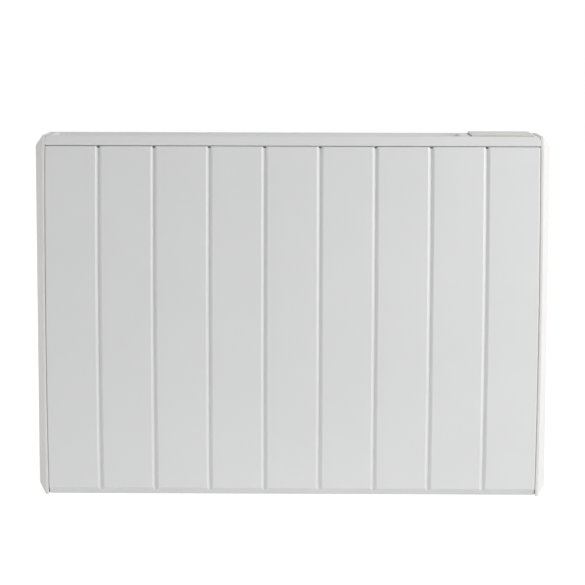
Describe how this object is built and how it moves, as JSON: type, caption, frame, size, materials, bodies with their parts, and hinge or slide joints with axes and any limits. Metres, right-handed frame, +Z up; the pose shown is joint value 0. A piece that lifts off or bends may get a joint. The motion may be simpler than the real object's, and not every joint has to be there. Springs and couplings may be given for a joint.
{
  "type": "electric panel radiator",
  "caption": "Wall-hung electric panel radiator: white bowed and grooved steel front, sloped end caps, top outlet grille, lidded controls, finned convector inside, wall bracket with latches.",
  "frame": {"origin": "on the wall surface, at the middle of the wall bracket's four fixing holes, which is also the middle of the body's width and height", "axes": "+X to the right as seen from the room, +Y into the wall, +Z up; the body's back sheet is 15 mm in front of the wall, its front edges 110 mm and its bowed face up to 125.5 mm in front of it"},
  "size_m": [0.7446, 0.1254, 0.534],
  "materials": {
    "white_powder_coat": "fine satin powder coat on sheet steel",
    "white_moulding": "satin moulded plastic, slightly warm white",
    "grey_moulding": "fine matt moulded plastic",
    "galvanised_sheet": "zinc-coated sheet steel",
    "zinc_fasteners": "bright zinc plate",
    "aluminium_fins": "as extruded",
    "sheath": "heat-tinted stainless tube",
    "ceramic": "unglazed",
    "brass": "plain",
    "brown_phenolic": "moulded phenolic with a metal cup",
    "black_plastic": "matt",
    "circuit_board": "solder mask",
    "nylon": "natural nylon",
    "display": "dark display module",
    "window": "smoked clear window",
    "button_caps": "satin",
    "lead_insulation": "silicone sleeving",
    "latch_plastic": "glass-filled nylon"
  },
  "bodies": {
    "heater": {"front_panel": "white_powder_coat", "top_casing": "white_powder_coat", "outlet_grille": "white_moulding", "inlet_grille": "galvanised_sheet", "rear_casing": "white_powder_coat", "left_end_cap": "white_moulding", "right_end_cap": "white_moulding", "left_side_frame": "galvanised_sheet", "right_side_frame": "galvanised_sheet", "partition": "galvanised_sheet", "casing_screws": "zinc_fasteners", "end_cap_screws": "zinc_fasteners", "heat_shield": "galvanised_sheet", "convector_fins": "aluminium_fins", "heating_rod": "sheath", "element_bushes": "ceramic", "element_terminals": "brass", "element_bracket": "galvanised_sheet", "cutout_bracket": "galvanised_sheet", "thermal_cutout": "brown_phenolic", "sensor_clip": "black_plastic", "room_sensor": "black_plastic", "control_fascia": "grey_moulding", "control_housing": "grey_moulding", "control_board": "circuit_board", "tact_switches": "black_plastic", "display_module": "display", "display_window": "window", "lid_hinge_pins": "zinc_fasteners", "board_standoffs": "nylon", "power_board": "circuit_board", "relay": "black_plastic", "terminal_block": "nylon", "cable_gland": "nylon", "gland_nut": "nylon", "earth_stud": "brass", "element_leads": "lead_insulation", "wall_bracket": "white_powder_coat", "latch_pins": "zinc_fasteners"},
    "lid": {"control_lid": "white_moulding"},
    "standby_button": {"standby_button": "button_caps"},
    "back_button": {"back_button": "button_caps"},
    "minus_button": {"minus_button": "button_caps"},
    "plus_button": {"plus_button": "button_caps"},
    "enter_button": {"enter_button": "button_caps"},
    "left_latch": {"left_latch": "latch_plastic"},
    "right_latch": {"right_latch": "latch_plastic"}
  },
  "joints": [
    {"name": "lid_hinge", "type": "hinge", "parent": "heater", "child": "lid", "pos_m": [0.3025, -0.028, 0.2613], "axis": [-1, 0, 0], "range_deg": [0, 100]},
    {"name": "standby_press", "type": "slide", "parent": "heater", "child": "standby_button", "axis": [0, 0, -1], "range_m": [0, 0.0012], "stiffness_N_per_m": 300},
    {"name": "back_press", "type": "slide", "parent": "heater", "child": "back_button", "axis": [0, 0, -1], "range_m": [0, 0.0012], "stiffness_N_per_m": 300},
    {"name": "minus_press", "type": "slide", "parent": "heater", "child": "minus_button", "axis": [0, 0, -1], "range_m": [0, 0.0012], "stiffness_N_per_m": 300},
    {"name": "plus_press", "type": "slide", "parent": "heater", "child": "plus_button", "axis": [0, 0, -1], "range_m": [0, 0.0012], "stiffness_N_per_m": 300},
    {"name": "enter_press", "type": "slide", "parent": "heater", "child": "enter_button", "axis": [0, 0, -1], "range_m": [0, 0.0012], "stiffness_N_per_m": 300},
    {"name": "left_latch_turn", "type": "hinge", "parent": "heater", "child": "left_latch", "pos_m": [-0.18, -0.008, 0.224], "axis": [-1, 0, 0], "range_deg": [0, 16], "stiffness_Nm_per_rad": 0.05, "springref_deg": -20.05},
    {"name": "right_latch_turn", "type": "hinge", "parent": "heater", "child": "right_latch", "pos_m": [0.18, -0.008, 0.224], "axis": [-1, 0, 0], "range_deg": [0, 16], "stiffness_Nm_per_rad": 0.05, "springref_deg": -20.05}
  ]
}
